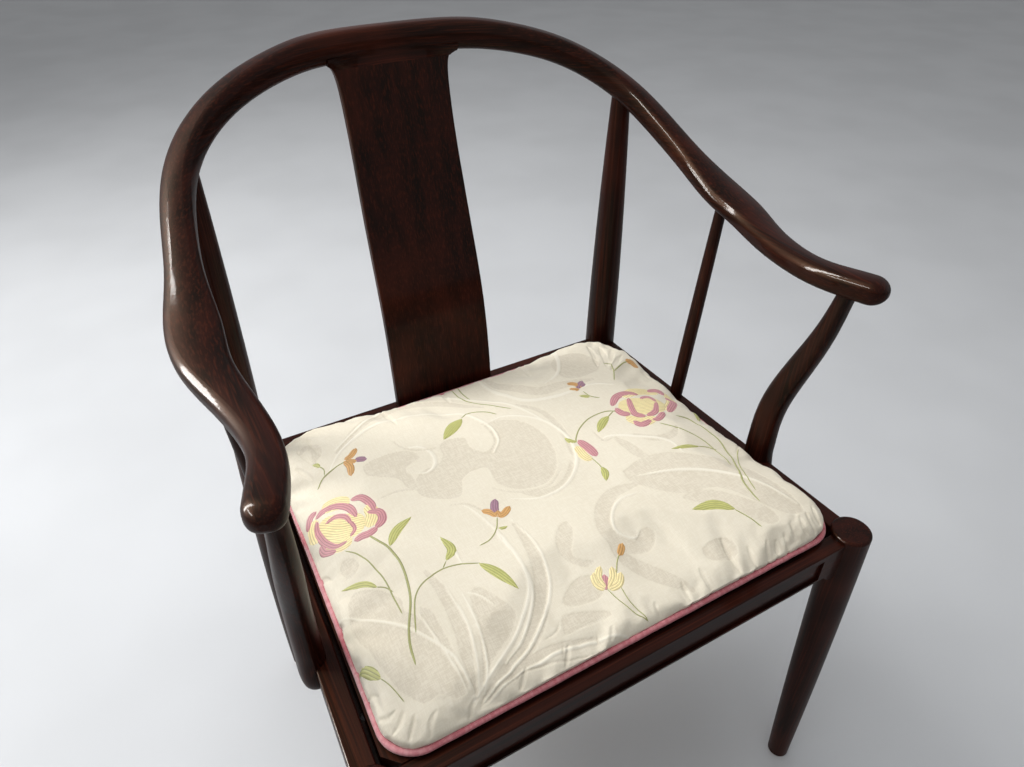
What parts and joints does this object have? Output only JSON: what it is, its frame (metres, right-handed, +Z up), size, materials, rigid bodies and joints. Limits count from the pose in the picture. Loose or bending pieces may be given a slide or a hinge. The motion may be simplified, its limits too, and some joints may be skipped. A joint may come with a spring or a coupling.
{
  "type": "horseshoe back armchair",
  "caption": "Horseshoe back wooden armchair with a bent bow for back and arms, a splat, round tapered legs and a loose flowered seat cushion with piping.",
  "frame": {"origin": "on the floor, under the middle of the whole chair", "axes": "+Z up, the chair faces -Y, +X to the right as seen from the front"},
  "size_m": [0.5806, 0.5512, 0.8224],
  "materials": {
    "frame_wood": "dark stained mahogany, semi-gloss lacquer",
    "seat_frame_wood": "dark stained hardwood, satin",
    "screw_steel": "bright zinc plated",
    "webbing": "woven jute webbing",
    "glide": "moulded nylon",
    "cushion_fabric": "ivory brocade with woven flowers",
    "cushion_foam": "foam wrapped in wadding",
    "piping_cord": "pink bias-cut piping"
  },
  "bodies": {
    "chair": {"front_leg_left": "frame_wood", "front_leg_right": "frame_wood", "rear_post_left": "frame_wood", "rear_post_right": "frame_wood", "front_rail": "frame_wood", "rear_rail": "frame_wood", "side_rail_left": "frame_wood", "side_rail_right": "frame_wood", "crest_rail": "frame_wood", "arm_left": "frame_wood", "arm_right": "frame_wood", "splat": "frame_wood", "spindle_left": "frame_wood", "spindle_right": "frame_wood", "arm_post_left": "frame_wood", "arm_post_right": "frame_wood", "seat_frame_front": "seat_frame_wood", "seat_frame_rear": "seat_frame_wood", "seat_frame_left": "seat_frame_wood", "seat_frame_right": "seat_frame_wood", "seat_ledge_left": "seat_frame_wood", "seat_ledge_right": "seat_frame_wood", "corner_block_front_left": "seat_frame_wood", "corner_block_front_right": "seat_frame_wood", "corner_block_rear_left": "seat_frame_wood", "corner_block_rear_right": "seat_frame_wood", "arm_post_screws": "screw_steel", "corner_block_screws": "screw_steel", "seat_frame_screws": "screw_steel", "ledge_screws": "screw_steel", "webbing_lengthwise": "webbing", "webbing_crosswise": "webbing", "foot_glides": "glide"},
    "cushion": {"cushion_cover": "cushion_fabric", "cushion_core": "cushion_foam", "cushion_piping": "piping_cord"}
  },
  "joints": [
    {"name": "cushion_lift", "type": "slide", "parent": "chair", "child": "cushion", "axis": [0, -0.8189, 0.5739], "range_m": [0, 0.5]}
  ]
}
